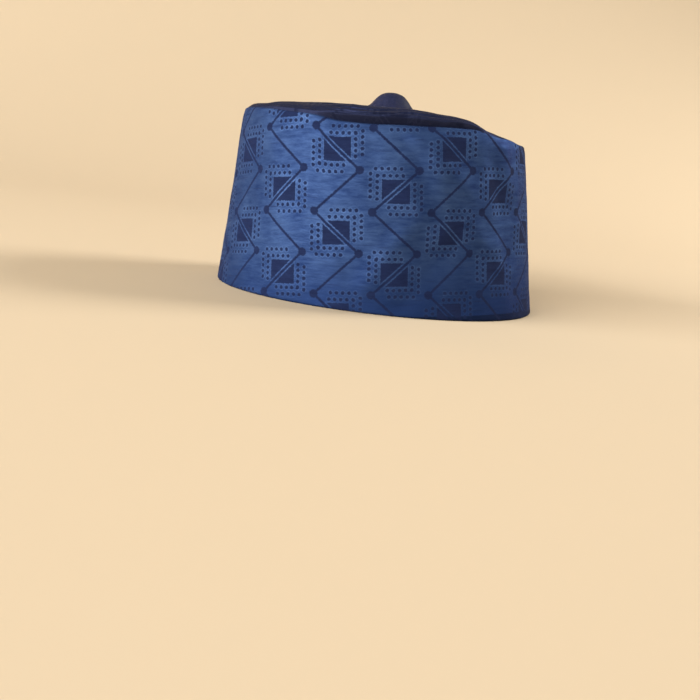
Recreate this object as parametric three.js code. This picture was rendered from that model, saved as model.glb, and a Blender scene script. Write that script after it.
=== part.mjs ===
import * as THREE from "three";

// A tall brimless prayer cap of stiffened jacquard cloth, standing on its hem.
// The side band is one conical strip, closed at the back. The crown is an oval panel sewn to the band's
// top edge, with more cloth than the opening needs, so that it puffs up and creases along both sides.
// A cloth-covered button sits in the middle of the crown.
// Millimetres. +X is the front of the cap and +Z is up. The hem stands on z = 0, with its centre at the
// origin.

// Sizes of the band.
const hemLength = 206;
const hemWidth = 172;
const topLength = 179;
const topWidth = 156;
const wallHeight = 106.5;
const topSetback = 5.5; // the top edge sits this much further back than the hem
const wallThickness = 2.6;
const hemEdgeRound = 0.7;
const dentDepth = 2.4;

// Sizes of the crown.
const crownThickness = 1.6;
const crownInset = 0.7; // the crown's rim lies this far inside the band's outer face
const crownPuff = 8.6; // how high the crown rises above its seam
const rollWidth = 26; // from the seam to where the crown is at its full height
const crownRimRound = 0.35;
const seamGap = 0.3;

// Sizes of the button.
const buttonDiameter = 29;
const buttonHeight = 11.2;
const buttonForward = 2.6; // ahead of the crown's middle
const buttonGap = 0.3;

const edgeReach = 4; // the power by which the crown's level falls in with the wall's uneven edge
const aroundSegments = 72;
const buttonSegments = 28;

// The top edge isn't level. Angles run from the front round either side, in degrees, and lift is a share of
// the wall's height.
const edgeLifts = [
  { angle: 0, lift: -0.047 },
  { angle: 20, lift: -0.038 },
  { angle: 38, lift: -0.012 },
  { angle: 58, lift: 0.026 },
  { angle: 80, lift: 0.02 },
  { angle: 100, lift: 0.004 },
  { angle: 120, lift: 0.004 },
  { angle: 140, lift: 0.008 },
  { angle: 160, lift: 0.002 },
  { angle: 180, lift: -0.006 },
];

// Soft dents and swellings of the band. Angle and wide are in degrees, round from the front towards the
// wearer's left. Height and tall are shares of the wall's height, and deep is a share of dentDepth, inwards.
const wallDents = [
  { angle: -68, height: 0.3, wide: 17, tall: 0.3, deep: 1 },
  { angle: -38, height: 0.45, wide: 13, tall: 0.36, deep: 0.55 },
  { angle: -84, height: 0.72, wide: 15, tall: 0.2, deep: -0.35 },
  { angle: -112, height: 0.4, wide: 22, tall: 0.36, deep: -0.3 },
  { angle: -148, height: 0.62, wide: 18, tall: 0.32, deep: 0.4 },
  { angle: 50, height: 0.5, wide: 18, tall: 0.34, deep: 0.6 },
  { angle: 98, height: 0.36, wide: 24, tall: 0.3, deep: 0.75 },
  { angle: 140, height: 0.6, wide: 17, tall: 0.34, deep: -0.35 },
  { angle: 180, height: 0.5, wide: 15, tall: 0.4, deep: 0.3 },
];

// Where the crown puffs up, from the back (-1) to the front (1) of the top edge, as a share of crownPuff.
const crownPuffs = [
  { along: -1, puff: 0.16 },
  { along: -0.86, puff: 0.56 },
  { along: -0.62, puff: 0.7 },
  { along: -0.35, puff: 0.86 },
  { along: -0.18, puff: 0.94 },
  { along: 0.15, puff: 0.95 },
  { along: 0.28, puff: 0.88 },
  { along: 0.4, puff: 0.78 },
  { along: 0.54, puff: 0.66 },
  { along: 0.66, puff: 0.3 },
  { along: 0.78, puff: 0.05 },
  { along: 1, puff: 0 },
];

// The crown's section from its seam inwards. Inward is a share of rollWidth, lift a share of the cloth's
// thickness, and plain and creased are shares of the puff, away from a crease and across one.
const crownSections = [
  { inward: 0, lift: 0.3, plain: 0, creased: 0 },
  { inward: 0.02, lift: 0.8, plain: 0.1, creased: 0.14 },
  { inward: 0.07, lift: 1, plain: 0.26, creased: 0.3 },
  { inward: 0.14, lift: 1, plain: 0.45, creased: 0.18 },
  { inward: 0.23, lift: 1, plain: 0.63, creased: 0.48 },
  { inward: 0.42, lift: 1, plain: 0.82, creased: 0.8 },
  { inward: 1, lift: 1, plain: 1, creased: 1 },
];

// The creases beside the seam, one along each side, in degrees from the front.
const crownCreases = [
  { angle: -97, wide: 26, strength: 1 },
  { angle: 88, wide: 30, strength: 0.8 },
];

// The button's dome, whose covering flares out where it is drawn down to the crown. Out is a share of its
// radius and up a share of its height.
const buttonSections = [
  { out: 0, up: 0 },
  { out: 0.98, up: 0 },
  { out: 1, up: 0.04 },
  { out: 0.93, up: 0.15 },
  { out: 0.82, up: 0.37 },
  { out: 0.7, up: 0.58 },
  { out: 0.56, up: 0.78 },
  { out: 0.42, up: 0.9 },
  { out: 0.23, up: 0.975 },
  { out: 0, up: 1 },
];

const innerShares = [0.7, 0.4]; // the crown's rings between the roll and the button
const wallShares = [0.12, 0.24, 0.36, 0.48, 0.6, 0.72, 0.84, 0.94];

const radians = THREE.MathUtils.degToRad;

// A smooth value between the rows of a table, level at each row.
function between(rows, at, value, x) {
  const next = rows.findIndex((row) => row[at] >= x);
  if (next <= 0) return rows[next < 0 ? rows.length - 1 : 0][value];
  const low = rows[next - 1];
  const high = rows[next];
  const share = THREE.MathUtils.smoothstep(x, low[at], high[at]);
  return THREE.MathUtils.lerp(low[value], high[value], share);
}

// The signed turn from one angle to another, in degrees, the short way round.
function turnBetween(from, to) {
  return THREE.MathUtils.euclideanModulo(to - from + 180, 360) - 180;
}

function bell(offset, wide) {
  return Math.exp(-2 * (offset / wide) ** 2);
}

function edgeHeight(degrees) {
  return wallHeight * (1 + between(edgeLifts, "angle", "lift", Math.abs(turnBetween(0, degrees))));
}

function dentAt(degrees, heightShare) {
  const fade = Math.sin(Math.PI * heightShare);
  return wallDents.reduce((sum, dent) => {
    const round = bell(turnBetween(dent.angle, degrees), dent.wide);
    const up = bell(heightShare - dent.height, dent.tall);
    return sum + dent.deep * dentDepth * round * up * fade;
  }, 0);
}

// A point of the band: depth is measured inwards from its outer face, at a share of the wall's height.
function bandPoint(degrees, heightShare, depth) {
  const angle = radians(degrees);
  const length = THREE.MathUtils.lerp(hemLength, topLength, heightShare) / 2;
  const width = THREE.MathUtils.lerp(hemWidth, topWidth, heightShare) / 2;
  const outward = new THREE.Vector3(Math.cos(angle) / length, Math.sin(angle) / width, 0).normalize();
  const middle = new THREE.Vector3(-topSetback * heightShare, 0, edgeHeight(degrees) * heightShare);
  const face = new THREE.Vector3(length * Math.cos(angle), width * Math.sin(angle), 0).add(middle);
  return face.addScaledVector(outward, -depth - dentAt(degrees, heightShare));
}

// A lathe gives the closed grid of faces, and each of its points is then put where place(degrees, k) says,
// with k the number of the point in the profile.
function shapedLathe(profile, segments, place) {
  const geometry = new THREE.LatheGeometry(profile, segments);
  const position = geometry.getAttribute("position");
  for (let i = 0; i < position.count; i++) {
    const turn = Math.floor(i / profile.length) % segments;
    const point = place((360 * turn) / segments, i % profile.length);
    position.setXYZ(i, point.x, point.y, point.z);
  }
  geometry.deleteAttribute("normal");
  geometry.deleteAttribute("uv");
  return geometry;
}

// The band's section, as height shares and depths, round from the middle of the hem and up the outside.
function bandSection() {
  const round = hemEdgeRound / wallHeight;
  const outer = wallShares.map((share) => ({ share, depth: 0 }));
  const inner = wallShares.map((share) => ({ share, depth: wallThickness })).reverse();
  const hem = { share: 0, depth: wallThickness / 2 };
  return [
    hem,
    { share: 0, depth: hemEdgeRound },
    { share: round, depth: 0 },
    ...outer,
    { share: 1 - round, depth: 0 },
    { share: 1, depth: hemEdgeRound },
    { share: 1, depth: wallThickness },
    ...inner,
    { share: round, depth: wallThickness },
    { share: 0, depth: wallThickness - hemEdgeRound },
    hem,
  ];
}

function bandGeometry() {
  const section = bandSection();
  const profile = section.map((s) => new THREE.Vector2(hemLength / 2 - s.depth, s.share * wallHeight));
  return shapedLathe(profile, aroundSegments, (degrees, k) =>
    bandPoint(degrees, section[k].share, section[k].depth),
  );
}

function creaseAt(degrees) {
  return Math.min(
    1,
    crownCreases.reduce((sum, c) => sum + c.strength * bell(turnBetween(c.angle, degrees), c.wide), 0),
  );
}

// The crown's outline, and the direction and distance from its rim to its middle.
function crownRim(degrees) {
  const rim = bandPoint(degrees, 1, crownInset).setZ(0);
  const middle = new THREE.Vector3(-topSetback, 0, 0);
  const toMiddle = middle.clone().sub(rim);
  return { rim, middle, inward: toMiddle.clone().normalize(), radius: toMiddle.length() };
}

// The height of the crown's upper face over a point that is rise (a share of the puff) up its section.
function crownHeight(degrees, shareOut, rise) {
  const along = shareOut * Math.cos(radians(degrees));
  const puff = crownPuff * between(crownPuffs, "along", "puff", along);
  const level = THREE.MathUtils.lerp(wallHeight, edgeHeight(degrees), shareOut ** edgeReach);
  return level + seamGap + puff * rise;
}

function crownPoint(degrees, ring, lower) {
  const { rim, middle, inward, radius } = crownRim(degrees);
  const rolled = ring < crownSections.length;
  const section = crownSections[Math.min(ring, crownSections.length - 1)];
  const rise = THREE.MathUtils.lerp(section.plain, section.creased, creaseAt(degrees));
  const rollEnd = 1 - rollWidth / radius;
  const inner = rollEnd * (innerShares[ring - crownSections.length] ?? 0);
  const shareOut = rolled ? 1 - (section.inward * rollWidth) / radius : inner;
  const point = rolled
    ? rim.clone().addScaledVector(inward, section.inward * rollWidth)
    : middle.clone().lerp(rim, shareOut);
  const lift = crownThickness * section.lift;
  const upper = crownHeight(degrees, shareOut, rise) + lift;
  const under = upper - crownThickness;
  return point.setZ(lower ? under : upper);
}

// The lower face starts on the flat top of the wall and follows the upper one from there.
function crownSeatPoint(degrees, depth) {
  const { rim, inward } = crownRim(degrees);
  return rim.addScaledVector(inward, depth).setZ(edgeHeight(degrees) + seamGap);
}

function crownGeometry() {
  const rings = crownSections.length + innerShares.length;
  const firstFree = crownSections.findIndex((s) => s.inward * rollWidth > wallThickness + crownThickness);
  const under = Array.from({ length: rings + 1 - firstFree }, (_, k) => ({ ring: rings - k, lower: true }));
  const seat = [{ depth: wallThickness }, { depth: crownRimRound }];
  const upper = Array.from({ length: rings + 1 }, (_, k) => ({ ring: k, lower: false }));
  const stations = [...under, ...seat, ...upper];
  const profile = stations.map(
    (s, k) => new THREE.Vector2(k === 0 || k === stations.length - 1 ? 0 : 1, -k),
  );
  return shapedLathe(profile, aroundSegments, (degrees, k) => {
    const station = stations[k];
    return "depth" in station
      ? crownSeatPoint(degrees, station.depth)
      : crownPoint(degrees, station.ring, station.lower);
  });
}

function buttonGeometry() {
  const radius = buttonDiameter / 2;
  const profile = buttonSections.map((p) => new THREE.Vector2(p.out * radius, p.up * buttonHeight));
  const geometry = new THREE.LatheGeometry(profile, buttonSegments);
  geometry.rotateX(Math.PI / 2);
  return geometry;
}

const cloth = { color: 0x3c5488, roughness: 0.5, metalness: 0 };

const band = new THREE.Mesh(bandGeometry(), new THREE.MeshStandardMaterial(cloth));
band.name = "band";

const crown = new THREE.Mesh(crownGeometry(), new THREE.MeshStandardMaterial(cloth));
crown.name = "crown";

const button = new THREE.Mesh(buttonGeometry(), new THREE.MeshStandardMaterial(cloth));
button.name = "crown_button";
const buttonSeat = crownHeight(0, 0, 1) + crownThickness + buttonGap;
button.position.set(buttonForward - topSetback, 0, buttonSeat);

const cap = new THREE.Group();
cap.add(band, crown, button);

export default cap;
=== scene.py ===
# %% [markdown]
# # A tall prayer cap of patterned satin
#
# A model of the cap is loaded first. It gives every piece its true size and place: a side band, a crown and
# a covered button. This lesson then dresses it. The band is cut flat and given its woven pattern there, and
# only then put into the shape that the model has. The crown follows the model from above, and the button is
# built up in steps. Hand stitches at the hem come last.

# %% Load the model and keep its box
from math import cos, hypot, pi, radians, sin

import bmesh
import bpy
import numpy as np
from mathutils import Matrix, Vector, noise
from mathutils.bvhtree import BVHTree


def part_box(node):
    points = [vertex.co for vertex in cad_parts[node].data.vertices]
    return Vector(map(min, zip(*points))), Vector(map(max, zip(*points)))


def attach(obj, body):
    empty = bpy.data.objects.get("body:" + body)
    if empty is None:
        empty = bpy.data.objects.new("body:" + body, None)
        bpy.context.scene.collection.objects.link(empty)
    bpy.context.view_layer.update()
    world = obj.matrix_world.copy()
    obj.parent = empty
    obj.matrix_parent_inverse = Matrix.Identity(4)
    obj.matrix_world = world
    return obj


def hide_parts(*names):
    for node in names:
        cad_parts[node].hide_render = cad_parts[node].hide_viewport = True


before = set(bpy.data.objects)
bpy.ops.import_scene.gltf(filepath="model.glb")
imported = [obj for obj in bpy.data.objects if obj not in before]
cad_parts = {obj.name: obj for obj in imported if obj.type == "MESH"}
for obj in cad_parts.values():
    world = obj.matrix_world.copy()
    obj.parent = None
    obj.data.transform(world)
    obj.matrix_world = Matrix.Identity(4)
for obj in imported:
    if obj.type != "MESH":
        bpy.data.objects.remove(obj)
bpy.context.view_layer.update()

# %% [markdown]
# Blender works in metres and a tailor in millimetres, so sizes are written in millimetres and turned by one
# factor. The oval of the hem and that of the top edge are read from the model. The crown starts a little
# inside the top edge, and that small step is added back.

# %% Sizes of the cap
MM = 0.001
CROWN_INSET = 0.7 * MM
WALL = 2.6 * MM

band_low, band_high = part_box("band")
crown_low, crown_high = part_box("crown")
button_low, button_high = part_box("crown_button")

HEM_LENGTH = band_high.x - band_low.x
HEM_WIDTH = band_high.y - band_low.y
TOP_LENGTH = crown_high.x - crown_low.x + 2 * CROWN_INSET
TOP_WIDTH = crown_high.y - crown_low.y + 2 * CROWN_INSET
SETBACK = -(crown_high.x + crown_low.x) / 2
button_middle = (button_low + button_high) / 2
print(f"the hem is {HEM_LENGTH / MM:.1f} x {HEM_WIDTH / MM:.1f} mm,",
      f"and the top {TOP_LENGTH / MM:.1f} x {TOP_WIDTH / MM:.1f} mm")

# %% [markdown]
# ## The camera
#
# It stands in front of the cap's right side, a little higher than the middle of the crown, and is rolled to
# one side by a few degrees. The lens is a plain 50 mm one, on a square picture.

# %% Camera
CAMERA_AT = Vector((-18.18, -635.79, 93.38)) * MM
CAMERA_LOOKS = Vector((0.01066, 0.97861, -0.20543))
CAMERA_UP = Vector((-0.11281, 0.20531, 0.97217))
LENS_MM = 50

bpy.ops.object.camera_add()
camera = bpy.context.object
camera.name = "camera"
camera.data.lens = LENS_MM
camera.data.clip_start = 0.01
right = CAMERA_LOOKS.cross(CAMERA_UP).normalized()
up = right.cross(CAMERA_LOOKS).normalized()
turned = Matrix((right, up, -CAMERA_LOOKS)).transposed().to_4x4()
camera.matrix_world = Matrix.Translation(CAMERA_AT) @ turned
bpy.context.scene.camera = camera
print("the camera is", round(CAMERA_AT.length / MM), "mm from the middle of the hem")

# %% [markdown]
# ## Reading the wall of the band
#
# The band's wall is close to a plain oval cone, with a few soft dents, and its top edge rises and falls, as
# stiffened cloth does after some wear. Rays shot at the model find both: one set comes in from outside and
# gives the depth of the dents, and another comes down and gives the height of the edge. The model's faces
# are large, so a cubic curve through the readings is used, which is smooth between them.

# %% Readings of the wall
READINGS_ROUND = 72
READINGS_UP = 12
RAY_STARTS = 20 * MM  # this far outside the plain cone


def tree_of(node):
    """The faces of a node of the model, ready to be hit by rays."""
    mesh = bpy.data.objects[node].data
    return BVHTree.FromPolygons([v.co for v in mesh.vertices], [tuple(p.vertices) for p in mesh.polygons])


def oval_point(turn, share, inwards=0.0):
    """A point of the plain cone at an angle round it and a share of its height, without its height."""
    length = (HEM_LENGTH + (TOP_LENGTH - HEM_LENGTH) * share) / 2
    width = (HEM_WIDTH + (TOP_WIDTH - HEM_WIDTH) * share) / 2
    out = np.stack([np.cos(turn) / length, np.sin(turn) / width], -1)
    out /= np.linalg.norm(out, axis=-1, keepdims=True)
    at = np.stack([length * np.cos(turn) - SETBACK * share, width * np.sin(turn)], -1)
    return at - out * np.asarray(inwards)[..., None], out


def curve_through(values, at, closed):
    """Reads a row of even readings at places given in steps, by a cubic curve through them."""
    values = np.asarray(values, float)
    low = np.floor(at).astype(int)
    near = low + np.array([-1, 0, 1, 2])[:, None]
    near = near % len(values) if closed else np.clip(near, 0, len(values) - 1)
    a, b, c, d = values[near]
    x = at - low
    return b + 0.5 * x * (c - a + x * (2 * a - 5 * b + 4 * c - d + x * (3 * (b - c) + d - a)))


def in_steps(turns):
    """Where angles lie in the ring of readings, in steps from the front."""
    return (turns / (2 * pi) * READINGS_ROUND) % READINGS_ROUND


band_tree = tree_of("band")
reading_turns = np.arange(READINGS_ROUND) * 2 * pi / READINGS_ROUND
reading_shares = np.linspace(0.03, 0.97, READINGS_UP)


def edge_reading(turn):
    """The height of the model's top edge."""
    (x, y), _ = oval_point(turn, 1.0, WALL * 0.6)
    return band_tree.ray_cast(Vector((x, y, 1)), Vector((0, 0, -1)))[0].z


edge_readings = np.array([edge_reading(turn) for turn in reading_turns])


def dent_reading(turn, share, top):
    """How far the model's wall lies inside the plain cone."""
    (x, y), out = oval_point(turn, share, -RAY_STARTS)
    hit = band_tree.ray_cast(Vector((x, y, share * top)), Vector((-out[0], -out[1], 0)))[3]
    return hit - RAY_STARTS


dent_readings = np.array(
    [[dent_reading(t, s, top) for t, top in zip(reading_turns, edge_readings)] for s in reading_shares]
)
print(f"the edge is {edge_readings.min() / MM:.1f} to {edge_readings.max() / MM:.1f} mm high,",
      f"and the dents go {dent_readings.min() / MM:.1f} to {dent_readings.max() / MM:.1f} mm in")

# %% [markdown]
# ## Cutting the band flat
#
# The band is one curved strip of cloth, sewn together at the back. Its pattern is woven before the strip is
# cut, so the pattern runs straight on the flat cloth and leans on the cone. That is why the strip is laid
# flat first: each narrow slice of the wall is a triangle pair, and the triangles are laid side by side
# without stretching them. The flat places become the UV map, in metres. It is zero at the middle of the
# front, at the hem.
#
# The edge of the band isn't quite where the model has it. It stands a little higher, to hide the rim of the
# crown, and drops along both sides, where the crown folds over it. Both are too small for the model.

# %% Flat strip
CLOTH_LEAN = -0.1125  # the thread leans by this angle from the wall's slope at the front
BACK_COLUMNS = 7  # a few narrow columns beside the back seam
SIDE_COLUMNS = 232


def between(a, b):
    """The distance from a to b."""
    return np.linalg.norm(b - a)


def meet(p, q, from_p, from_q, side):
    """The point at two given distances from p and q, on the left (-1) or the right (1) of the way to q."""
    apart = between(p, q)
    way = (q - p) / apart
    along = (from_p**2 - from_q**2 + apart**2) / (2 * apart)
    off = max(from_p**2 - along**2, 0) ** 0.5
    return p + along * way + side * off * np.array([way[1], -way[0]])


def edge_height(turns):
    """The height of the model's top edge, smooth between the readings."""
    return curve_through(edge_readings, in_steps(turns), closed=True)


def laid_flat(turns, side):
    """The flat places of the strip's foot and top edge, from the front round one side to the back."""
    feet = np.column_stack([oval_point(turns, 0.0)[0], 0 * turns])
    tops = np.column_stack([oval_point(turns, 1.0)[0], edge_height(turns)])
    foot = np.zeros(2)
    top = between(feet[0], tops[0]) * np.array([sin(CLOTH_LEAN), cos(CLOTH_LEAN)])
    flat_feet, flat_tops = [foot], [top]
    for i in range(len(turns) - 1):
        next_foot, next_top = feet[i + 1], tops[i + 1]
        foot = meet(foot, top, between(feet[i], next_foot), between(tops[i], next_foot), side)
        top = meet(foot, top, between(next_foot, next_top), between(tops[i], next_top), side)
        flat_feet.append(foot)
        flat_tops.append(top)
    return np.array(flat_feet), np.array(flat_tops)


def soft_step(values, low, high):
    """0 below low, 1 above high, and smooth between them."""
    x = np.clip((values - low) / (high - low), 0, 1)
    return x * x * (3 - 2 * x)


EDGE_RISE = 1.3 * MM
END_RISE = 0.9 * MM  # at the front and the back
EDGE_DROP = 2.3 * MM  # along the crown's folds
FAR_SHARE = 0.7  # the far side's fold, as a share of the near one's


def side_fold(turns):
    """1 along the crown's fold on the near side, less on the far side, and 0 at the front and the back."""
    from_front = np.abs(turns)
    fold = 0.5 * soft_step(from_front, radians(46), radians(62))
    fold = fold + 0.5 * soft_step(from_front, radians(62), radians(84))
    fold = fold * soft_step(-from_front, radians(-121), radians(-107))
    return fold * np.where(turns < 0, 1, FAR_SHARE)


def band_edge(turns):
    """The height of the band's top edge, as the cloth is sewn to the crown."""
    end_rise = END_RISE * soft_step(np.abs(np.cos(turns)), cos(radians(50)), cos(radians(20)))
    return edge_height(turns) + EDGE_RISE + end_rise - EDGE_DROP * side_fold(turns)


near_back = radians(176.5)
half_turns = np.concatenate(
    [np.linspace(0, near_back, SIDE_COLUMNS, endpoint=False), np.linspace(near_back, pi, BACK_COLUMNS + 1)]
)
near_feet, near_tops = laid_flat(-half_turns, -1)
far_feet, far_tops = laid_flat(half_turns, 1)
turns = np.concatenate([-half_turns[:0:-1], half_turns])
flat_feet = np.concatenate([near_feet[:0:-1], far_feet])
flat_tops = np.concatenate([near_tops[:0:-1], far_tops])
edge_heights = band_edge(turns)

# %% [markdown]
# ## The band's section
#
# Seen from its end, the wall is a long loop. It goes up the outside, over the fold at the top, down the
# inside, over the cloth that is turned up at the hem, and round the hem. Each stop of the loop has a share
# of the wall's height, a small lift, a depth, and its place on the cloth. The turn-up is a real hem, 15 mm
# deep, so that the cut edge doesn't fray, and the section gives it a thickness of its own.

# %% Section of the band
OUTER_ROWS = 74
INNER_ROWS = 20
TOP_ROUND = 1.3 * MM
HEM_ROUND = 1.2 * MM
TURN_UP = 15 * MM
TURN_UP_THICK = 0.9 * MM
SLOPE = 110 * MM  # from the hem to the top edge along the wall, on average

section = []  # share of the height, lift, depth, share along the cloth, and 1 on the cloth's wrong side
for share in np.linspace(0, 1, OUTER_ROWS + 1):
    section.append((share, 0, 0, share, 0))
for angle in np.linspace(0, pi, 9)[1:-1]:
    cloth = 1 + TOP_ROUND * angle / SLOPE
    section.append((1, TOP_ROUND * sin(angle), TOP_ROUND * (1 - cos(angle)), cloth, 0))
turn_up_share = TURN_UP / SLOPE
for share in np.linspace(1, turn_up_share, INNER_ROWS + 1):
    section.append((share, 0, WALL, share, 1))
turn_up_depth = WALL + TURN_UP_THICK
for lift, depth in ((-0.1, WALL + 0.5 * MM), (-0.35, turn_up_depth - 0.15 * MM), (-0.9, turn_up_depth)):
    section.append((turn_up_share, lift * MM, depth, -turn_up_share, 0))
for share in np.linspace(turn_up_share, 0, 9)[1:]:
    section.append((share, 0, turn_up_depth, -share, 0))
for angle in np.linspace(0, pi, 9)[1:-1]:
    depth = turn_up_depth / 2 * (1 + cos(angle))
    section.append((0, -HEM_ROUND * sin(angle), depth, -depth / SLOPE, 0))
section.append(section[0])
shares, lifts, depths, cloth_shares, on_wrong_side = np.array(section).T
print("the section has", len(section) - 1, "steps")

# %% [markdown]
# ## Small folds
#
# Satin shows the slightest unevenness, so the wall gets soft ridges and hollows on top of the model's dents.
# Each one is a short line on the flat cloth with a width and a height, and the light falls on its two sides
# differently. Two layers of smooth noise stand for what is left of the creases from storage.

# %% Folds of the band
BIG_CRUMPLES = (0.32, 26)  # height and size, in mm
SMALL_CRUMPLES = (0.14, 10)
WALL_FOLDS = [
    # from u, v to u, v on the flat cloth, half width, and height outwards, all in mm
    (-196, 116, -174, 114, 3.5, -0.8),
    (-136, 106, -126, 94, 4, -0.5),
    (-124, 102, -98, 78, 6, 1.1),
    (-114, 110, -108, 50, 8, 1.4),
    (-104, 104, -88, 88, 5, -0.4),
    (-120, 76, -106, 62, 5, -0.5),
    (-128, 68, -112, 50, 6, 0.8),
    (-76, 90, -68, 66, 5, -0.8),
    (-66, 104, -60, 80, 6, 1.1),
    (-92, 56, -80, 42, 5, 0.6),
    (-51, 96, -47, 56, 5, 0.6),
    (-126, 58, -154, 20, 7, 1.1),
    (-104, 44, -134, 6, 8, -0.9),
    (-86, 34, -92, 12, 6, -1.1),
    (-70, 40, -62, 12, 6, 0.7),
    (-172, 32, -167, 4, 7, 0.8),
    (-152, 96, -146, 70, 6, -0.5),
    (-170, 40, -160, 12, 8, -0.4),
    (-214, 96, -206, 60, 7, 0.4),
    (-236, 60, -226, 20, 8, -0.5),
    (60, 80, 90, 50, 8, 0.6),
    (20, 40, 34, 10, 8, -0.6),
    (120, 30, 160, 45, 9, -0.6),
    (150, 96, 136, 66, 7, 0.6),
    (205, 85, 225, 35, 8, 0.6),
    (248, 60, 236, 24, 7, -0.5),
]


def ridge(u, v, fold):
    """The height of one fold: a bell across its line, fading past both ends."""
    u0, v0, u1, v1, wide, high = fold
    du, dv = u1 - u0, v1 - v0
    long = hypot(du, dv)
    along = ((u - u0) * du + (v - v0) * dv) / long
    past = np.maximum(0, np.maximum(-along, along - long))
    off = ((v - v0) * du - (u - u0) * dv) / long
    return high * np.exp(-((off / wide) ** 2) - (past / (1.5 * wide)) ** 2)


def crumple(places, height, size, seed):
    """The height of smooth noise at places in mm."""
    return height * np.array([noise.noise(Vector((x / size, y / size, seed))) for x, y in places])


def wall_relief(flat):
    """How far the cloth stands out at places of the flat strip."""
    places = flat.reshape(-1, 2) / MM
    u, v = places.T
    relief = sum(ridge(u, v, fold) for fold in WALL_FOLDS)
    relief = relief + crumple(places * (1, 1.6), *BIG_CRUMPLES, seed=3.5)
    relief = relief + crumple(places * (1, 1.5), *SMALL_CRUMPLES, seed=8.5)
    return relief.reshape(flat.shape[:-1]) * MM


print(len(WALL_FOLDS), "folds are laid on the wall")

# %% [markdown]
# ## Rolling the band up
#
# A cloth piece starts as a flat grid. Every point keeps its flat place in the UV map, so the pattern stays
# as it was cut. Then the points go to their places on the cap, and merging what lies together closes the
# piece. Bending a flat mesh with a modifier would be quicker, but it can't follow an oval cone with dents.

# %% Grid that is shaped point by point
MERGE_WITHIN = 0.02 * MM


def grid_piece(name, places, flat, wrong_side):
    """A grid at places of rows x columns, with flat as its UV map. Rows of the wrong side get slot 1."""
    rows, columns = places.shape[:2]
    bpy.ops.object.select_all(action="DESELECT")
    bpy.ops.mesh.primitive_grid_add(x_subdivisions=columns - 1, y_subdivisions=rows - 1, size=1)
    piece = bpy.context.object
    piece.name = piece.data.name = name
    mesh = piece.data
    while mesh.uv_layers:
        mesh.uv_layers.remove(mesh.uv_layers[0])
    corner_vertex = np.empty(len(mesh.loops), int)
    mesh.loops.foreach_get("vertex_index", corner_vertex)
    uv = mesh.uv_layers.new(name="cloth")
    uv.data.foreach_set("uv", flat.reshape(-1, 2)[corner_vertex].astype(np.float32).ravel())
    mesh.vertices.foreach_set("co", places.reshape(-1, 3).astype(np.float32).ravel())
    row_of_face = np.arange((columns - 1) * (rows - 1)) // (columns - 1)
    mesh.polygons.foreach_set("material_index", wrong_side[row_of_face].astype(int))
    bpy.ops.object.mode_set(mode="EDIT")
    bpy.ops.mesh.select_all(action="SELECT")
    bpy.ops.mesh.remove_doubles(threshold=MERGE_WITHIN)
    bpy.ops.object.mode_set(mode="OBJECT")
    bpy.ops.object.shade_smooth()
    return piece


def bell(values, half_width, height):
    """A smooth hump over values near 0."""
    return height * np.exp(-((values / half_width) ** 2))


print("points that lie within", MERGE_WITHIN / MM, "mm are merged")

# %% [markdown]
# The band's grid has one column for each slice and one row for each stop of the section. At the back its two
# ends meet in a fine groove between two low ridges, which are the turned-in edges of the seam. The top leans
# inwards to the crown's seam, most of all along the crown's folds.

# %% Band
FOLDS_FADE = 0.04  # share of the height, at the hem and at the top edge
SEAM_CALM = 12 * MM  # the folds fade out this near to the back seam
SEAM_RIDGE = (4 * MM, 0.35 * MM)  # half width and height
SEAM_GROOVE = (0.7 * MM, 0.9 * MM)
TOP_LEAN = 2.2 * MM
LEANS_FROM = 0.92  # share of the height
END_LEAN = 0.2  # share of the lean at the front and the back


def on_strip(shares):
    """Places of the flat strip at shares of the way from its foot to its top edge."""
    return flat_feet[None] + (flat_tops - flat_feet)[None] * shares[:, None, None]


def wall_places(relief):
    """Places on the wall, one row for each stop of the section."""
    top = edge_heights[None] - TOP_ROUND
    height = HEM_ROUND + (top - HEM_ROUND) * shares[:, None] + lifts[:, None]
    share = np.clip(height / edge_heights[None], 0, 1)
    by_turn = np.stack([curve_through(row, in_steps(turns), closed=True) for row in dent_readings])
    step = (share - reading_shares[0]) / (reading_shares[1] - reading_shares[0])
    step = np.clip(step, 0, READINGS_UP - 1)
    columns = zip(by_turn.T, step.T)
    dents = np.stack([curve_through(column, at, closed=False) for column, at in columns], axis=1)
    plan, _ = oval_point(np.broadcast_to(turns, share.shape), share, depths[:, None] + dents - relief)
    return np.concatenate([plan, height[..., None]], -1)


fade = np.clip(shares / FOLDS_FADE, 0, 1) * np.clip((1 - shares) / FOLDS_FADE, 0, 1)
from_seam = (pi - np.abs(turns)) * HEM_LENGTH / 2
relief = wall_relief(on_strip(shares)) * fade[:, None] * soft_step(from_seam, 0, SEAM_CALM)
outside = np.where(depths == 0, 1.0, 0.0)
relief += outside[:, None] * (bell(from_seam, *SEAM_RIDGE) - bell(from_seam, *SEAM_GROOVE))
lean_in = np.clip((shares - LEANS_FROM) / (1 - LEANS_FROM), 0, 1) ** 2
relief -= TOP_LEAN * lean_in[:, None] * (END_LEAN + (1 - END_LEAN) * side_fold(turns))

places = wall_places(relief)
band = grid_piece("band_cloth", places, on_strip(cloth_shares), on_wrong_side[:-1])
print("the band has", len(band.data.polygons), "faces")

# %% [markdown]
# ## Reading the crown
#
# The crown is an oval of the same cloth. It is sewn down all round and puffs up a little, because it was cut
# larger than the opening. Rays that come down on the model give its height on rings from the seam to the
# middle. The rings are closer together near the seam, where the cloth turns fastest.

# %% Readings of the crown
CROWN_READINGS = 18
RING_POWER = 1.8
NEAR_RIM = 0.003  # share of the way in at which the rim is read

crown_tree = tree_of("crown")
crown_middle = np.array([-SETBACK, 0.0])


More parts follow.
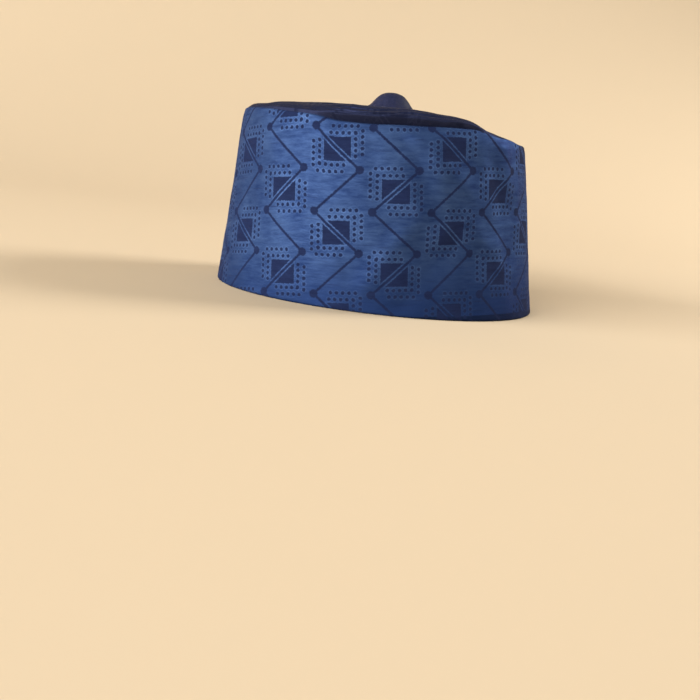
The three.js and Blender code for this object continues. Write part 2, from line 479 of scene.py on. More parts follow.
def crown_place(turn, inwards):
    """A place on the crown, a share of the way from its rim to its middle, seen from above."""
    rim, _ = oval_point(turn, 1.0, CROWN_INSET)
    return rim + (crown_middle - rim) * np.asarray(inwards)[..., None]


def crown_reading(turn, step):
    """The height of the model's crown on one of the rings."""
    x, y = crown_place(turn, max(NEAR_RIM, (step / (CROWN_READINGS - 1)) ** RING_POWER))
    return crown_tree.ray_cast(Vector((x, y, 1)), Vector((0, 0, -1)))[0].z


crown_readings = np.array([[crown_reading(t, k) for t in reading_turns] for k in range(CROWN_READINGS)])
print(f"the crown is {crown_readings.min() / MM:.1f} to {crown_readings.max() / MM:.1f} mm high")

# %% [markdown]
# ## Making the crown
#
# It is shaped as the band was, from a grid whose columns run round and whose rows run from the middle of the
# under side, out to the rim, and back over the top to the middle. Its flat places are its plan, because the
# puff is low and the cloth hardly slopes. The wrinkles on its top come first, each as a bell across a line.

# %% Top of the crown
CROWN_COLUMNS = 360
BIG_WRINKLES = (0.35, 17)  # height and size, in mm
SMALL_WRINKLES = (0.12, 7)
CALM_RIM = 0.05  # no wrinkles in this share of the way in from the seam
CALM_BUTTON = (15, 27)  # the wrinkles start between these distances from the button's middle, in mm

CROWN_FOLDS = [
    # from x, y to x, y in plan, half width, and height upwards, all in mm
    (-46, -66, 22, -68, 3.2, -1.1),
    (-30, -58, 40, -56, 4.5, 0.5),
    (-70, -38, -28, -46, 5, 0.6),
    (24, -30, 58, -44, 6, 0.5),
    (-62, 30, -24, 50, 6, 0.6),
    (18, 46, 52, 40, 5, -0.6),
    (-60, -6, -26, -2, 7, 0.5),
    (22, 8, 60, 14, 7, -0.5),
    (-90, -18, -90, 18, 6, 1.2),
]

crown_turns = np.linspace(-pi, pi, CROWN_COLUMNS + 1)
crown_by_turn = np.stack([curve_through(row, in_steps(crown_turns), closed=True) for row in crown_readings])


def crown_surface(inwards):
    """Places of the crown's upper face for one share of the way in, all round."""
    step = np.array([inwards ** (1 / RING_POWER) * (CROWN_READINGS - 1)])
    height = np.array([curve_through(column, step, closed=False)[0] for column in crown_by_turn.T])
    plan = crown_place(crown_turns, np.full(len(crown_turns), inwards))
    x, y = plan.T / MM
    folds = sum(ridge(x, y, fold) for fold in CROWN_FOLDS)
    folds = folds + crumple(plan / MM, *BIG_WRINKLES, seed=1.5)
    folds = folds + crumple(plan / MM, *SMALL_WRINKLES, seed=6.5)
    from_button = np.hypot(x - button_middle.x / MM, y - button_middle.y / MM)
    low, high = CALM_BUTTON
    calm = np.clip(inwards / CALM_RIM, 0, 1) * np.clip((from_button - low) / (high - low), 0, 1)
    return np.column_stack([plan, height + folds * calm * MM])


crown_rim = crown_surface(NEAR_RIM)[:, 2]
crown_edge = band_edge(crown_turns)
over_edge = (crown_rim - crown_edge) / MM
print(f"the crown's rim starts {over_edge.min():.1f} to {over_edge.max():.1f} mm over the band's edge")

# %% [markdown]
# Along both sides the crown is fuller than its seam. The cloth hangs over the band's edge there as a soft
# roll with fine creases along it, and the seam lies deep in the dark groove under the roll. The cut edge is
# turned in behind the band.

# %% Crown
CROWN_TOP_ROWS = 130
CROWN_UNDER_ROWS = 18
CROWN_THICK = 1.6 * MM
UNDER_TO = 0.08  # the under side ends at this share of the way in

# each pair is in mm, first what is found all round, and then what the folds along the sides add
SEAM_IN = (0.5, 3.4)  # the cloth is drawn in at the seam
ROLL_OUT = (0.4, 1.9)  # it bulges over the seam
DRAWN_UP_TO = (1.2, 1.3)  # the height over the rim at which it is no longer drawn in
TURNED_IN = (1.8, 0.6)  # the cut edge lies behind the band's face
TURNED_DOWN = 3 * MM  # and under its top edge

ROLL_LEVEL = 4.3  # mm over the seam, where the roll is widest
ROLL_HALF = 2.0
ROLL_CREASES = [
    # height over the seam, half width, and height outwards, all in mm
    (4.2, 0.5, 0.5),
    (5.1, 0.4, -1.9),
    (6.0, 0.5, 0.6),
    (7.2, 0.4, -1.2),
]
CREASE_OUT = 0.9  # shares of a crease's height that go outwards and upwards
CREASE_UP = 0.35


def tucked(row):
    """Draws the cloth in at the seam and lets it bulge over it, so that a dark gap stays between."""
    _, out = oval_point(crown_turns, 1.0)
    over_seam = (row[:, 2] - edge_height(crown_turns)) / MM
    fold = side_fold(crown_turns)
    drawn_up_to = DRAWN_UP_TO[0] + DRAWN_UP_TO[1] * fold
    near_seam = 1 - soft_step((row[:, 2] - crown_rim) / MM, 0.6 * fold, drawn_up_to)
    drawn_in = (SEAM_IN[0] + SEAM_IN[1] * fold) * near_seam
    bulge = bell(over_seam - ROLL_LEVEL, ROLL_HALF, ROLL_OUT[0] + ROLL_OUT[1] * fold)
    row = row.copy()
    row[:, :2] += out * ((bulge - drawn_in) * MM)[:, None]
    row[:, 2] -= np.maximum(over_edge + 0.5, 0) * MM * near_seam
    wander = 0.35 * np.sin(5 * crown_turns + 2) + 0.2 * np.sin(13 * crown_turns + 1)
    for level, half_width, height in ROLL_CREASES:
        crease = bell(over_seam - level - wander, half_width, height * MM * fold**2)
        row[:, :2] += out * CREASE_OUT * crease[:, None]
        row[:, 2] += CREASE_UP * crease
    return row


under_shares = np.linspace(1, UNDER_TO, CROWN_UNDER_ROWS)
under_side = [crown_surface(share) - (0, 0, CROWN_THICK) for share in under_shares]
behind_band = (TURNED_IN[0] + TURNED_IN[1] * side_fold(crown_turns)) * MM
turned_in = np.column_stack([oval_point(crown_turns, 1.0, behind_band)[0], crown_edge - TURNED_DOWN])
top_shares = NEAR_RIM + (1 - NEAR_RIM) * np.linspace(0, 1, CROWN_TOP_ROWS) ** 2
top_side = [tucked(crown_surface(share)) for share in top_shares]
crown_places = np.stack([*under_side, turned_in, *top_side])
crown_wrong = np.arange(len(crown_places) - 1) < CROWN_UNDER_ROWS
crown = grid_piece("crown_cloth", crown_places, crown_places[..., :2], crown_wrong)
print("the crown has", len(crown.data.polygons), "faces")

# %% [markdown]
# ## The button
#
# A covered button is a dome with a round of cloth gathered under it. Here a ring is extruded and narrowed
# step by step up to the top, and then smoothed by subdivision. The gathers are small waves round its foot.

# %% Button
BUTTON_SIDES = 64
BUTTON_GATHERS = 14
BUTTON_FOOT = 0.96  # width of its foot, as a share of the button's
GATHER_DEPTH = 0.05  # share of the radius
BUTTON_STEPS = [
    # width and height, as shares of the button's radius and height
    (0.98, 0.04),
    (1.0, 0.1),
    (1.01, 0.16),
    (1.0, 0.2),
    (0.955, 0.22),
    (0.92, 0.26),
    (0.85, 0.37),
    (0.73, 0.58),
    (0.585, 0.79),
    (0.44, 0.92),
    (0.24, 1.0),
    (0.07, 1.02),
]
button_radius = (button_high.x - button_low.x) / 2
button_tall = button_high.z - button_low.z

bpy.ops.object.select_all(action="DESELECT")
bpy.ops.mesh.primitive_circle_add(
    vertices=BUTTON_SIDES,
    radius=button_radius * BUTTON_FOOT,
    fill_type="NGON",
    location=(button_middle.x, button_middle.y, button_low.z),
)
button = bpy.context.object
button.name = button.data.name = "button_cover"
bpy.ops.object.mode_set(mode="EDIT")
bpy.ops.mesh.select_all(action="SELECT")
wide, high = BUTTON_FOOT, 0.0
for new_wide, new_high in BUTTON_STEPS:
    upwards = (new_high - high) * button_tall
    bpy.ops.mesh.extrude_region_move(TRANSFORM_OT_translate={"value": (0, 0, upwards)})
    bpy.ops.transform.resize(value=(new_wide / wide, new_wide / wide, 1))
    wide, high = new_wide, new_high
bpy.ops.mesh.select_all(action="SELECT")
bpy.ops.mesh.normals_make_consistent(inside=False)
bpy.ops.object.mode_set(mode="OBJECT")
bpy.ops.object.transform_apply(location=True, rotation=True, scale=True)
smoothing = button.modifiers.new("smoothing", "SUBSURF")
smoothing.levels = smoothing.render_levels = 2
bpy.ops.object.modifier_apply(modifier="smoothing")
for vertex in button.data.vertices:
    arm = Vector((vertex.co.x - button_middle.x, vertex.co.y - button_middle.y))
    turn = np.arctan2(arm.y, arm.x)
    low = 1 - (vertex.co.z - button_low.z) / button_tall
    wave = cos(BUTTON_GATHERS * turn + 1.3 * sin(3 * turn)) * 0.35 + cos(5 * turn + 1) * 0.25
    stretch = 1 + GATHER_DEPTH * wave * np.clip(low, 0, 1) ** 1.2
    vertex.co.x = button_middle.x + arm.x * stretch
    vertex.co.y = button_middle.y + arm.y * stretch
bpy.ops.object.shade_smooth()
print("the button has", len(button.data.polygons), "faces")

# %% [markdown]
# ## The hem stitches
#
# Inside the cap, slanting hand stitches hold the turned-up hem. One stitch is modelled as a short piece of
# thread with rounded ends and a bent middle. Copies of it are then laid along the edge of the turn-up, each
# from the turn-up to the wall above it, and joined into one piece.

# %% Hem stitches
STITCH_EVERY = 7 * MM
STITCH_LEAN = 2 * MM  # how far it runs along the edge
STITCH_RADIUS = 0.3 * MM
STITCH_LONG = 3 * MM
STITCH_UNDER = 0.9 * MM  # how far it reaches down from the edge of the turn-up
STITCH_OVER = 1.4 * MM  # and up from it
STITCH_OFF = 0.1 * MM  # how far its middle line stands off the cloth


def select_edges(piece, wanted):
    """Selects those edges, in edit mode, whose two ends pass a test."""
    mesh = bmesh.from_edit_mesh(piece.data)
    for edge in mesh.edges:
        edge.select_set(wanted(*(vertex.co for vertex in edge.verts)))
    bmesh.update_edit_mesh(piece.data)


bpy.ops.object.select_all(action="DESELECT")
bpy.ops.mesh.primitive_cylinder_add(
    vertices=8, radius=STITCH_RADIUS, depth=STITCH_LONG, rotation=(0, pi / 2, 0)
)
stitch = bpy.context.object
bpy.ops.object.transform_apply(location=True, rotation=True, scale=True)
bpy.ops.object.mode_set(mode="EDIT")
select_edges(stitch, lambda a, b: abs(a.x - b.x) < MM)
bpy.ops.mesh.bevel(offset=0.7 * STITCH_RADIUS, segments=2)
select_edges(stitch, lambda a, b: abs(a.x - b.x) > MM)
bpy.ops.mesh.subdivide(number_cuts=3)
bpy.ops.object.mode_set(mode="OBJECT")
for vertex in stitch.data.vertices:
    vertex.co.z += 0.8 * STITCH_RADIUS * cos(pi * vertex.co.x / STITCH_LONG)
bpy.ops.object.shade_smooth()

hem_edge = places[np.argmax(depths >= turn_up_depth)]
steps = np.linalg.norm(np.diff(hem_edge, axis=0), axis=1)
along_edge = np.concatenate([[0], np.cumsum(steps)])
stitch_count = int(along_edge[-1] / STITCH_EVERY)


def on_hem_edge(distance):
    """A place on the edge of the turn-up, and the way into the cap there."""
    here, ahead = (
        Vector([np.interp((distance + more) % along_edge[-1], along_edge, hem_edge[:, k]) for k in range(3)])
        for more in (0, MM)
    )
    inwards = Vector((0, 0, 1)).cross(ahead - here).normalized()
    return here, inwards


copies = []
for number in range(stitch_count):
    distance = number * along_edge[-1] / stitch_count
    start, inwards = on_hem_edge(distance)
    end, _ = on_hem_edge(distance + STITCH_LEAN)
    low = start + inwards * STITCH_OFF - Vector((0, 0, STITCH_UNDER))
    high = end - inwards * (TURN_UP_THICK - STITCH_OFF) + Vector((0, 0, STITCH_OVER))
    long_way = (high - low).normalized()
    side_way = inwards.cross(long_way).normalized()
    turned = Matrix((long_way, side_way, long_way.cross(side_way))).transposed().to_4x4()
    copy = stitch.copy()
    copy.data = stitch.data.copy()
    copy.data.transform(Matrix.Translation((low + high) / 2) @ turned)
    bpy.context.collection.objects.link(copy)
    copies.append(copy)
bpy.ops.object.select_all(action="DESELECT")
for copy in copies:
    copy.select_set(True)
bpy.context.view_layer.objects.active = copies[0]
bpy.ops.object.join()
stitches = bpy.context.object
stitches.name = stitches.data.name = "hem_stitches"
bpy.data.objects.remove(stitch)
print(stitch_count, "stitches hold the hem, with", len(stitches.data.polygons), "faces in all")

# %% [markdown]
# ## Building materials
#
# Colours are picked as they look on a screen, and Blender wants them linear. One function turns them, and
# another adds a node with its settings and links.

# %% Material helpers
def colour(code):
    """A linear colour from a screen colour such as 4e6495."""
    shares = [int(code[i : i + 2], 16) / 255 for i in (0, 2, 4)]
    return (*[c / 12.92 if c <= 0.04045 else ((c + 0.055) / 1.055) ** 2.4 for c in shares], 1)


def add(tree, kind, *inputs, named=None, out=0, **settings):
    """Adds a node, sets or links its inputs by place or name, and gives back one of its outputs."""
    node = tree.nodes.new("ShaderNode" + kind)
    for setting, value in settings.items():
        setattr(node, setting, value)
    for socket, value in [*enumerate(inputs), *(named or {}).items()]:
        if isinstance(value, bpy.types.NodeSocket):
            tree.links.new(value, node.inputs[socket])
        elif value is not None:
            node.inputs[socket].default_value = value
    return node.outputs[out] if node.outputs else node


def new_material(name):
    """A material without nodes, and its node tree."""
    material = bpy.data.materials.new(name)
    material.use_nodes = True
    material.node_tree.nodes.clear()
    return material, material.node_tree


print("a middle grey, 808080 on the screen, is", round(colour("808080")[0], 3), "as light")

# %% [markdown]
# ## Charting the woven pattern
#
# The cloth is a jacquard: satin, with a figure woven into it in the opposite weave. Upright zigzag lines
# stand side by side. Each has a round dot at every turn, and on every other stretch a square that the line
# cuts in two, with rows of small dots round its two free corners. Neighbouring lines carry the squares on
# opposite stretches, as mirror images.
#
# The nodes work out how far a place is from the nearest edge of the figure, with negative values inside it.
# The smallest distance of all the motifs wins, and a soft step turns it into a mask.

# %% The figure
ACROSS = 33.74  # between two zigzag lines, in mm
REPEAT = 48.5  # between two turns to the same side
SWING = 26.41  # from a turn on the left to one on the right
FIRST_TURN = (-192.24, 86.31)  # where one of the right-hand turns lies on the flat band
LINE_WIDE = 1.45
BLOB_WIDE = 4.9
SQUARE_HALF = (8.0, 7.0)
LINE_GAP = 0.85  # the light thread on either side of the line, where it cuts the square
DOT_WIDE = 2.15
DOTS_IN_ROW = 5
DOT_ROWS = [
    # the first dot, from the middle of the square, and the step to the next, in mm
    ((-10.4, 9.2), (3.57, 0)),
    ((-10.6, -4.34), (0, 3.3)),
    ((-11.6, 13.1), (3.62, 0)),
    ((-14.5, -3.2), (0, 3.35)),
]


def figure_distance(tree, cloth):
    """Distances in mm from the edge of the whole figure, and from that of its squares and dots."""
    at = add(tree, "VectorMath", cloth, (*FIRST_TURN, 0), operation="SUBTRACT")
    split = add(tree, "SeparateXYZ", at)
    x, y = split, split.node.outputs[1]
    slope = 2 * SWING / REPEAT
    square_to_line = 1 / hypot(1, slope)

    swing = add(tree, "Math", y, REPEAT / 2, operation="PINGPONG")
    beside = add(tree, "Math", swing, slope, x, operation="MULTIPLY_ADD")
    line = add(tree, "Math", beside, ACROSS / 2, operation="PINGPONG")
    line = add(tree, "Math", line, square_to_line, -LINE_WIDE / 2, operation="MULTIPLY_ADD")
    shapes = [line]

    for shift_x, shift_y in ((0, 0), (SWING, REPEAT / 2)):
        across = add(tree, "Math", add(tree, "Math", x, shift_x), ACROSS / 2, operation="PINGPONG")
        along = add(tree, "Math", add(tree, "Math", y, shift_y), REPEAT / 2, operation="PINGPONG")
        away = add(tree, "VectorMath", add(tree, "CombineXYZ", across, along), operation="LENGTH", out=1)
        shapes.append(add(tree, "Math", away, BLOB_WIDE / 2, operation="SUBTRACT"))

    column_x = add(tree, "Math", x, SWING / 2)
    column = add(tree, "Math", add(tree, "Math", column_x, ACROSS, operation="DIVIDE"), operation="ROUND")
    odd = add(tree, "Math", column, 1, operation="PINGPONG")
    mirror = add(tree, "Math", odd, -2, 1, operation="MULTIPLY_ADD")
    local_x = add(tree, "Math", column, -ACROSS, column_x, operation="MULTIPLY_ADD")
    local_x = add(tree, "Math", local_x, mirror, operation="MULTIPLY")
    local_y = add(tree, "Math", mirror, REPEAT / 4, y, operation="MULTIPLY_ADD")
    local_y = add(tree, "Math", local_y, REPEAT / 2, -REPEAT / 2, operation="WRAP")
    beside = add(tree, "Math", local_y, slope, operation="MULTIPLY")
    beside = add(tree, "Math", beside, local_x, operation="SUBTRACT")
    half = add(tree, "Math", beside, operation="SIGN")
    local = add(tree, "CombineXYZ", local_x, local_y)
    local = add(tree, "VectorMath", local, named={"Scale": half}, operation="SCALE")

    over = add(tree, "VectorMath", local, operation="ABSOLUTE")
    over = add(tree, "VectorMath", over, (*SQUARE_HALF, 0), operation="SUBTRACT")
    over = add(tree, "SeparateXYZ", over)
    square = add(tree, "Math", over, over.node.outputs[1], operation="MAXIMUM")
    off_line = add(tree, "Math", beside, operation="ABSOLUTE")
    free_of_line = LINE_WIDE / 2 + LINE_GAP
    off_line = add(tree, "Math", off_line, -square_to_line, free_of_line, operation="MULTIPLY_ADD")
    motif = add(tree, "Math", square, off_line, operation="MAXIMUM")

    for first, step in DOT_ROWS:
        place = add(tree, "VectorMath", local, (*first, 0), operation="SUBTRACT")
        near = add(tree, "VectorMath", place, (step[0] / 2, step[1] / 2, 0))
        near = add(tree, "VectorMath", near, (*step, 0), operation="SNAP")
        last = [(DOTS_IN_ROW - 1) * s for s in step]
        near = add(tree, "VectorMath", near, (0, 0, 0), operation="MAXIMUM")
        near = add(tree, "VectorMath", near, (*last, 0), operation="MINIMUM")
        away = add(tree, "VectorMath", place, near, operation="DISTANCE", out=1)
        dot = add(tree, "Math", away, DOT_WIDE / 2, operation="SUBTRACT")
        motif = add(tree, "Math", motif, dot, operation="MINIMUM")

    nearest = motif
    for shape in shapes:
        nearest = add(tree, "Math", nearest, shape, operation="MINIMUM")
    return nearest, motif


# %% [markdown]
# ## Jacquard satin
#
# Satin floats its threads over many others, so it is smooth and shines, and its shine has the colour of the
# threads. A shader that is metallic in part gives that: a tinted, broad shine. The figure shows the other
# system of threads, which is darker and duller, and beside it the ground is woven looser and looks lighter.
# Slubs, the thick places of the yarn, run across as fine streaks. The real threads are a quarter of a
# millimetre apart, too fine to show here, so the streaks are drawn two or three threads wide.
#
# Towards the hem the band's ground is painted darker, as painted shade, and the fold of the hem and the
# turn-up are painted darkest, as a painted shadow. The crown is of the same cloth, with greyer and darker
# colours that are painted shade. The wrong side shows the threads with their colours swapped, a light figure
# on a dark ground, and hardly shines.

# %% Jacquard
GROUND_ROUGH = 0.57  # where it is brushed up, and a little more elsewhere
FIGURE_ROUGH = 0.9
FIGURE_SHINE = 0.4  # as a share of the ground's
SHEEN = "3a4a78"  # the shine takes the colour of the threads
RAGGED = 1.1  # mm of play in the edge of the figure, half of it to either side
EDGE_SOFT = 0.28  # mm on either side of the edge, about one thread
HALO = 0.42  # how far the looser weave beside the figure goes to its lighter colour
HALO_WIDE = (0.35, 0.8)  # it fades out between these distances from the figure, in mm
HEM_SHADE_PAINTED = 0.9  # painted shade: how far the ground by the hem goes to its darker tone
HEM_SHADE_PAINTED_UP_TO = 38  # mm over the hem, up to which the shade is painted
# painted shadow in the fold of the hem
HEM_FOLD_PAINTED_SHADOW = "10182c"
FOLD_SHADOW_WIDE = (0.5, 1.3)  # mm over the hem, where the painted shadow of the fold fades out


def jacquard(name, ground, ground_shade, halo, figure, figure_shade, gloss, shine=0.55, painted_hem_shade=False):
    """A satin with the figure woven in, from its colours, its gloss and how metallic it shines."""
    material, tree = new_material(name)
    cloth = add(tree, "UVMap", uv_map="cloth")
    cloth = add(tree, "VectorMath", cloth, named={"Scale": 1 / MM}, operation="SCALE")
    over_hem = add(tree, "SeparateXYZ", cloth, out=1)
    ragged = add(tree, "TexNoise", named={"Vector": cloth, "Scale": 1.3, "Detail": 1.0}, out=1)
    ragged = add(tree, "VectorMath", ragged, (0.5, 0.5, 0.5), operation="SUBTRACT")
    ragged = add(tree, "VectorMath", ragged, named={"Scale": RAGGED}, operation="SCALE")
    at = add(tree, "VectorMath", cloth, ragged)
    distance, from_motif = figure_distance(tree, at)
    inside = add(tree, "MapRange", distance, EDGE_SOFT, -EDGE_SOFT, 0, 1,
                 interpolation_type="SMOOTHSTEP")

    across = add(tree, "VectorMath", cloth, (0.25, 1.0, 1), operation="MULTIPLY")
    brushed = add(tree, "TexNoise",
                  named={"Vector": across, "Scale": 0.32, "Detail": 5.0, "Roughness": 0.74})
    brushed = add(tree, "MapRange", brushed, 0.34, 0.66, 0, 1)
    across = add(tree, "VectorMath", cloth, (0.05, 0.9, 1), operation="MULTIPLY")
    slub = add(tree, "TexNoise", named={"Vector": across, "Scale": 1.0, "Detail": 1.0})
    slub = add(tree, "MapRange", slub, 0.64, 0.74, 0, 1)
    cloudy = add(tree, "TexNoise", named={"Vector": cloth, "Scale": 0.06, "Detail": 2.0})
    cloudy = add(tree, "MapRange", cloudy, 0.35, 0.65, 0, 1)
    blend = add(tree, "Math", brushed, 0.6, operation="MULTIPLY")
    blend = add(tree, "Math", cloudy, 0.4, blend, operation="MULTIPLY_ADD")
    # painted shade: the ground goes to its darker tone towards the hem, with a noisy upper edge
    if painted_hem_shade:
        uneven = add(tree, "Math", cloudy, -14, over_hem, operation="MULTIPLY_ADD")
        unshaded_share = add(tree, "MapRange", uneven, HEM_SHADE_PAINTED_UP_TO, -8, 1, 1 - HEM_SHADE_PAINTED,
                    interpolation_type="SMOOTHSTEP")
        blend = add(tree, "Math", blend, unshaded_share, operation="MULTIPLY")
    ground_colour = add(tree, "Mix", blend, data_type="RGBA", out=2,
                        named={6: colour(ground_shade), 7: colour(ground)})
    near, far = HALO_WIDE
    rim = add(tree, "MapRange", from_motif, far, near, 0, HALO, interpolation_type="SMOOTHSTEP")
    broken = add(tree, "Math", blend, 1.2, 0.1, operation="MULTIPLY_ADD")
    rim = add(tree, "Math", rim, broken, operation="MULTIPLY")
    ground_colour = add(tree, "Mix", rim, data_type="RGBA", out=2,
                        named={6: ground_colour, 7: colour(halo)})
    # painted shadow: the hem's fold and the turn-up below it go nearly to a dark blue
    if painted_hem_shade:
        crease = add(tree, "MapRange", over_hem, *FOLD_SHADOW_WIDE, 0.7, 0, interpolation_type="SMOOTHSTEP")
        ground_colour = add(tree, "Mix", crease, data_type="RGBA", out=2,
                            named={6: ground_colour, 7: colour(HEM_FOLD_PAINTED_SHADOW)})
    dull = add(tree, "Math", slub, 0.5, operation="MULTIPLY")
    ground_colour = add(tree, "Mix", dull, data_type="RGBA", out=2,
                        named={6: ground_colour, 7: colour(figure)})
    figure_colour = add(tree, "Mix", brushed, data_type="RGBA", out=2,
                        named={6: colour(figure_shade), 7: colour(figure)})
    base = add(tree, "Mix", inside, data_type="RGBA", out=2, named={6: ground_colour, 7: figure_colour})
    ground_rough = add(tree, "Math", brushed, -0.1, GROUND_ROUGH + 0.1, operation="MULTIPLY_ADD")
    rough = add(tree, "MapRange", inside, 0, 1, ground_rough, FIGURE_ROUGH)
    metallic = add(tree, "MapRange", inside, 0, 1, shine, shine * FIGURE_SHINE)

    thread = add(tree, "VectorMath", cloth, (0.25, 1.9, 1), operation="MULTIPLY")
    thread = add(tree, "TexNoise", named={"Vector": thread, "Scale": 1.0, "Detail": 2.0})
    relief = add(tree, "Math", inside, -0.35, thread, operation="MULTIPLY_ADD")
    relief = add(tree, "Math", brushed, 1.2, relief, operation="MULTIPLY_ADD")
    bump = add(tree, "Bump", named={"Strength": 0.5, "Distance": 0.12 * MM, "Height": relief})
    shader = add(
        tree,
        "BsdfPrincipled",
        named={
            "Base Color": base,
            "Roughness": rough,
            "Normal": bump,
            "Metallic": metallic,
            "Specular IOR Level": gloss,
            "Specular Tint": colour(SHEEN),
        },
    )
    add(tree, "OutputMaterial", shader)
    return material


# gives the eye a broad blue sheen, with a dark and dull figure in it, and painted shade towards the hem
band_satin = jacquard(
    "jacquard_satin",
    ground="394e74",
    ground_shade="1c2d54",
    halo="4a6490",
    figure="1f2948",
    figure_shade="19203b",
    gloss=0.18,
    painted_hem_shade=True,
)
# gives a nearly dull, greyer surface, in which the figure is hard to see, and whose darker colours are
# painted shade
crown_satin_painted_shade = jacquard(
    "crown_satin_painted_shade",
    ground="2a2e46",
    ground_shade="202439",
    halo="2e344b",
    figure="20243a",
    figure_shade="1a1d2e",
    gloss=0.34,
)
# looks like plain cotton with a lighter, faint figure
wrong_side = jacquard(
    "satin_wrong_side",
    ground="2c3658",
    ground_shade="232b49",
    halo="2c3658",
    figure="45547e",
    figure_shade="38466e",
    gloss=0.1,
    shine=0.05,
)
print("the band's satin has", len(band_satin.node_tree.nodes), "nodes")

# %% [markdown]
# The button is covered with a plain piece of satin, rubbed dull by fingers, and the hem is sewn with matt
# cotton thread. Both are too small for a pattern, so a fine noise stands for the weave and the twist. It
# keeps the dark dome and the blue thread from looking like plastic.

# %% Plain cloth and thread
def plain_cloth(name, light, dark, rough):
    """A cloth or thread of one colour, mottled by its weave or twist."""
    material, tree = new_material(name)
    place = add(tree, "TexCoord", out=3)
    place = add(tree, "VectorMath", place, named={"Scale": 1 / MM}, operation="SCALE")
    fine = add(tree, "TexNoise", named={"Vector": place, "Scale": 1.1, "Detail": 3.0})
    fine = add(tree, "MapRange", fine, 0.3, 0.7, 0, 1)
    base = add(tree, "Mix", fine, data_type="RGBA", out=2, named={6: colour(dark), 7: colour(light)})
    bump = add(tree, "Bump", named={"Strength": 0.5, "Distance": 0.15 * MM, "Height": fine})
    shader = add(tree, "BsdfPrincipled",
                 named={"Base Color": base, "Roughness": rough, "Normal": bump, "Specular IOR Level": 0.1})
    add(tree, "OutputMaterial", shader)
    return material


# gives the eye a dark dome with a weak, broad shine on its left
button_satin = plain_cloth("button_satin", light="272a42", dark="1a1d33", rough=0.6)
# gives short, dull lines of about the band's own blue
cotton_thread = plain_cloth("cotton_thread", light="3c4a76", dark="28335a", rough=0.8)

for piece, satin in ((band, band_satin), (crown, crown_satin_painted_shade)):
    piece.data.materials.append(satin)
    piece.data.materials.append(wrong_side)
button.data.materials.append(button_satin)
stitches.data.materials.append(cotton_thread)
print("the pieces wear", [piece.data.materials[0].name for piece in (band, crown, button, stitches)])

# %% [markdown]
# ## Stage
#
# The floor runs up into the background in one sweep, as in a photo studio, so no edge shows behind the cap.
# It is a plane whose far edge is extruded upwards, and the corner between the two is rounded by a bevel.

# %% Stage
FLOOR_WIDE = 20
FLOOR_FRONT = 6
FLOOR_BACK = 2.6
BACKDROP_TALL = 5
SWEEP_RADIUS = 2

bpy.ops.object.select_all(action="DESELECT")
bpy.ops.mesh.primitive_plane_add(size=1)
floor = bpy.context.object
floor.name = floor.data.name = "studio_sweep"
bpy.ops.transform.resize(value=(FLOOR_WIDE, FLOOR_FRONT + FLOOR_BACK, 1))
bpy.ops.transform.translate(value=(0, (FLOOR_BACK - FLOOR_FRONT) / 2, 0))
bpy.ops.object.transform_apply(location=True, rotation=True, scale=True)
bpy.ops.object.mode_set(mode="EDIT")
bpy.ops.mesh.select_mode(type="EDGE")


def at_far_edge(a, b):
    """Whether both ends of an edge lie on the floor's far edge."""
    return min(a.y, b.y) > FLOOR_BACK - 10 * MM and max(a.z, b.z) < 10 * MM


bpy.ops.mesh.select_all(action="DESELECT")
select_edges(floor, at_far_edge)
bpy.ops.mesh.extrude_region_move(TRANSFORM_OT_translate={"value": (0, 0, BACKDROP_TALL)})
bpy.ops.mesh.select_all(action="DESELECT")
select_edges(floor, at_far_edge)
bpy.ops.mesh.bevel(offset=SWEEP_RADIUS, segments=24)
bpy.ops.object.mode_set(mode="OBJECT")
bpy.ops.object.shade_smooth()

# gives an even, warm beige without any shine
painted_floor, tree = new_material("painted_floor")
shader = add(tree, "BsdfPrincipled",
             named={"Base Color": colour("d0bb9c"), "Roughness": 1.0, "Specular IOR Level": 0.1})
add(tree, "OutputMaterial", shader)
floor.data.materials.append(painted_floor)
print("the sweep has", len(floor.data.polygons), "faces")

# %% [markdown]
# ## Light
#
# The main light is a wide soft box, four metres away on the left and low, so the wall is lit and the crown
# hardly is. A small one on the right picks out the front edge. It has a grid, which keeps its light narrow,
# because without one it would burn out the background beside it. The rest of the room is dim, and its
# ceiling is darkest.

# %% Lights
ROOM_LIGHT = 0.45
CEILING_LIGHT = 0.12


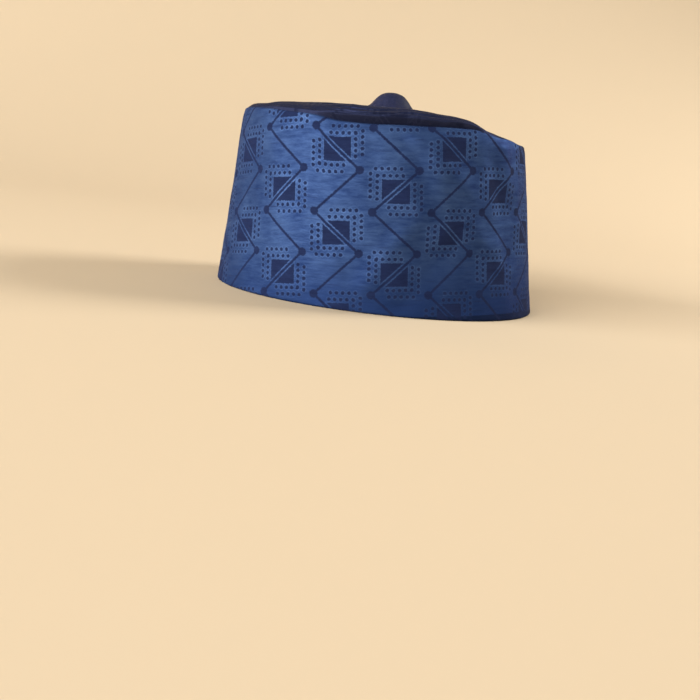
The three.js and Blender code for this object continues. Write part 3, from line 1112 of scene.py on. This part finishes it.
def soft_box(name, bearing, tilt, away, size, power, spread=180):
    """A rectangular soft light aimed at the cap, from a bearing round it and a tilt above the floor."""
    aim = Vector((0, 0, 60 * MM))
    bearing, tilt = radians(bearing), radians(tilt)
    way = Vector((cos(bearing) * cos(tilt), sin(bearing) * cos(tilt), sin(tilt)))
    bpy.ops.object.light_add(type="AREA", location=aim + way * away)
    light = bpy.context.object
    light.name = name
    light.data.shape = "RECTANGLE"
    light.data.size, light.data.size_y = size
    light.data.energy = power
    light.data.spread = radians(spread)
    light.rotation_euler = way.to_track_quat("Z", "Y").to_euler()
    light.visible_camera = False
    print(f"the {name.replace('_', ' ')} gives {power} W from {away} m away")


soft_box("main_light", bearing=-138, tilt=18, away=4.0, size=(5.2, 1.8), power=402)
soft_box("edge_light", bearing=20, tilt=30, away=2.6, size=(0.9, 1.1), power=32, spread=125)

world = bpy.data.worlds.new("studio")
bpy.context.scene.world = world
world.use_nodes = True
sky = world.node_tree
upwards = add(sky, "SeparateXYZ", add(sky, "TexCoord"), out=2)
strength = add(sky, "MapRange", upwards, 0.15, 0.7, ROOM_LIGHT, CEILING_LIGHT)
sky.links.new(strength, sky.nodes["Background"].inputs["Strength"])
sky.nodes["Background"].inputs["Color"].default_value = colour("ffffff")
bpy.context.scene.view_settings.view_transform = "Standard"

# %% [markdown]
# ## The pieces on the body
#
# Every piece rides on the model's one body. The band, the crown and the button each stand in for a plain
# solid of the model, which is hidden, and the stitches ride on the same body. The band and the crown are
# sheets of cloth. The band's flat size is that of the laid-out strip with its turn-up, and the crown's is
# its oval with an allowance all round.

# %% On the body
CROWN_ALLOWANCE = 6 * MM  # turned in all round the crown's seam

for piece, node, finish in (
    (band, "band", "jacquard_cloth"),
    (crown, "crown", "crown_cloth"),
    (button, "crown_button", "button_cloth"),
):
    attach(piece, "root")
    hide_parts(node)
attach(stitches, "root")

crown_cut = np.array([TOP_LENGTH, TOP_WIDTH]) + 2 * CROWN_ALLOWANCE
crown_area = pi / 4 * crown_cut.prod()
